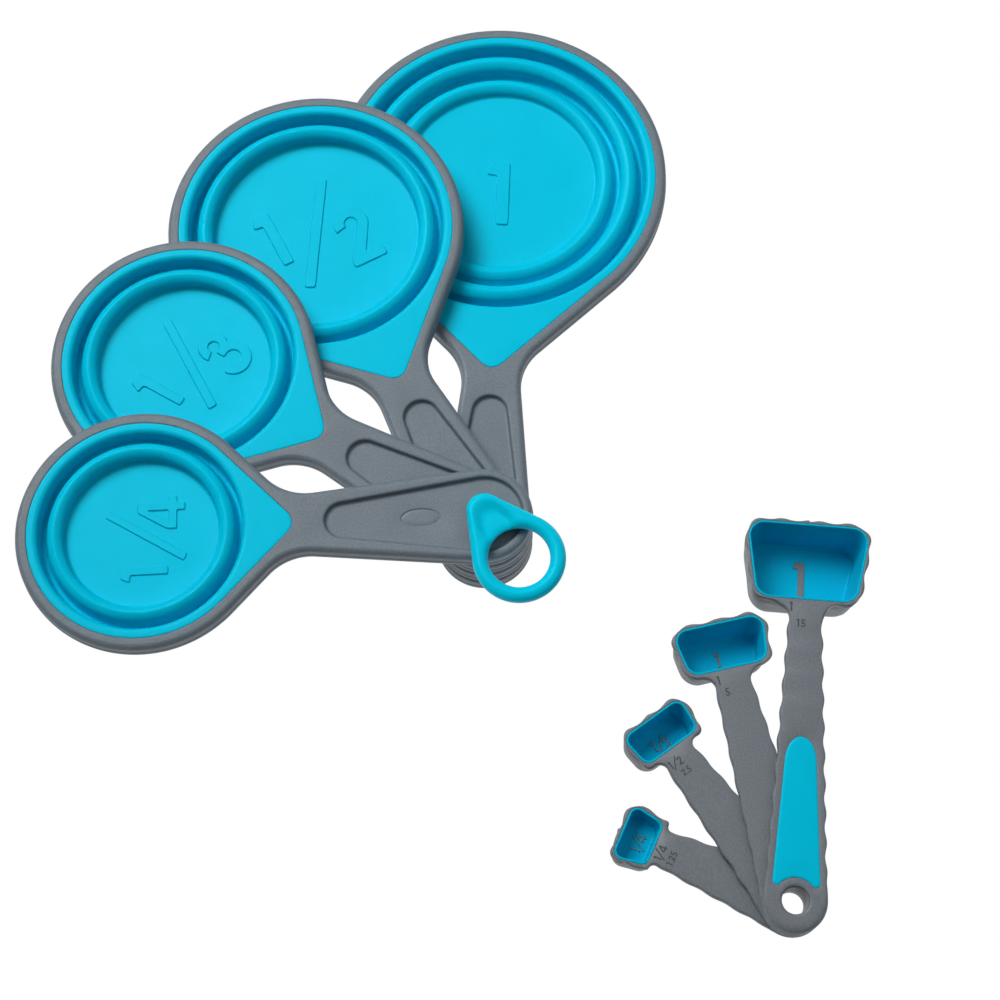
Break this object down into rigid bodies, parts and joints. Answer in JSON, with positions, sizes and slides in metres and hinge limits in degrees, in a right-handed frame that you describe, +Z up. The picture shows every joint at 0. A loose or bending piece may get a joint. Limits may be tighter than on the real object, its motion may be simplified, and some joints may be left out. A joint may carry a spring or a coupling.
{
  "type": "measuring cup set",
  "caption": "Nesting measuring cups with folding silicone bowls fanned out on a hanging ring, beside measuring spoons fanned out on a hollow snap post.",
  "frame": {"origin": "centre of the flat foot under the cups' post, on the surface the set lies on", "axes": "+Z up out of the surface, along the cups' swivel axis; the largest cup points roughly along +Y"},
  "size_m": [0.2923, 0.3449, 0.0399],
  "materials": {
    "frame_grey": "fine matte grain",
    "cup_silicone": "satin silicone",
    "ring_blue": "satin",
    "spoon_grey": "fine matte grain",
    "liner_blue": "satin",
    "grip_blue": "satin"
  },
  "bodies": {
    "one_cup": {"one_frame": "frame_grey", "one_rim": "cup_silicone", "one_outer_pleat": "cup_silicone"},
    "one_tier": {"one_middle_tier": "cup_silicone", "one_inner_pleat": "cup_silicone"},
    "one_bowl_base": {"one_base": "cup_silicone"},
    "half_cup": {"half_frame": "frame_grey", "half_rim": "cup_silicone", "half_pleat": "cup_silicone"},
    "half_bowl_base": {"half_base": "cup_silicone"},
    "third_cup": {"third_frame": "frame_grey", "third_rim": "cup_silicone", "third_pleat": "cup_silicone"},
    "third_bowl_base": {"third_base": "cup_silicone"},
    "quarter_cup": {"quarter_frame": "frame_grey", "quarter_rim": "cup_silicone", "quarter_pleat": "cup_silicone"},
    "quarter_bowl_base": {"quarter_base": "cup_silicone"},
    "ring": {"hanging_ring": "ring_blue"},
    "tablespoon": {"tablespoon_body": "spoon_grey", "tablespoon_liner": "liner_blue", "tablespoon_grip": "grip_blue"},
    "teaspoon": {"teaspoon_body": "spoon_grey", "teaspoon_liner": "liner_blue"},
    "half_teaspoon": {"half_teaspoon_body": "spoon_grey", "half_teaspoon_liner": "liner_blue"},
    "quarter_teaspoon": {"quarter_teaspoon_body": "spoon_grey", "quarter_teaspoon_liner": "liner_blue"}
  },
  "joints": [
    {"name": "one_outer_fold", "type": "slide", "parent": "one_cup", "child": "one_tier", "axis": [0, 0, -1], "range_m": [0, 0.01359], "deforming": ["one_outer_pleat"]},
    {"name": "one_inner_fold", "type": "slide", "parent": "one_tier", "child": "one_bowl_base", "axis": [0, 0, -1], "range_m": [0, 0.01359], "deforming": ["one_inner_pleat"]},
    {"name": "half_swivel", "type": "hinge", "parent": "one_cup", "child": "half_cup", "pos_m": [0, 0, 0.01433], "axis": [0, 0, 1], "range_deg": [-30, 32]},
    {"name": "half_fold", "type": "slide", "parent": "half_cup", "child": "half_bowl_base", "axis": [0, 0, -1], "range_m": [0, 0.01366], "deforming": ["half_pleat", "half_base"]},
    {"name": "third_swivel", "type": "hinge", "parent": "one_cup", "child": "third_cup", "pos_m": [0, 0, 0.02294], "axis": [0, 0, 1], "range_deg": [-62.4, 58]},
    {"name": "third_fold", "type": "slide", "parent": "third_cup", "child": "third_bowl_base", "axis": [0, 0, -1], "range_m": [0, 0.01327], "deforming": ["third_pleat", "third_base"]},
    {"name": "quarter_swivel", "type": "hinge", "parent": "one_cup", "child": "quarter_cup", "pos_m": [0, 0, 0.03151], "axis": [0, 0, 1], "range_deg": [-94.8, 82]},
    {"name": "quarter_fold", "type": "slide", "parent": "quarter_cup", "child": "quarter_bowl_base", "axis": [0, 0, -1], "range_m": [0, 0.01281], "deforming": ["quarter_pleat", "quarter_base"]},
    {"name": "ring_swivel", "type": "hinge", "parent": "one_cup", "child": "ring", "pos_m": [0, 0, 0.005], "axis": [0, 0, 1], "continuous": true},
    {"name": "spoons_lift", "type": "slide", "parent": "one_cup", "child": "tablespoon", "axis": [0, 0, 1], "range_m": [0, 0.1]},
    {"name": "teaspoon_swivel", "type": "hinge", "parent": "tablespoon", "child": "teaspoon", "pos_m": [0.101, -0.1276, 0.015], "axis": [0, 0, 1], "continuous": true},
    {"name": "half_teaspoon_swivel", "type": "hinge", "parent": "tablespoon", "child": "half_teaspoon", "pos_m": [0.101, -0.1276, 0.015], "axis": [0, 0, 1], "continuous": true},
    {"name": "quarter_teaspoon_swivel", "type": "hinge", "parent": "tablespoon", "child": "quarter_teaspoon", "pos_m": [0.101, -0.1276, 0.015], "axis": [0, 0, 1], "continuous": true}
  ]
}
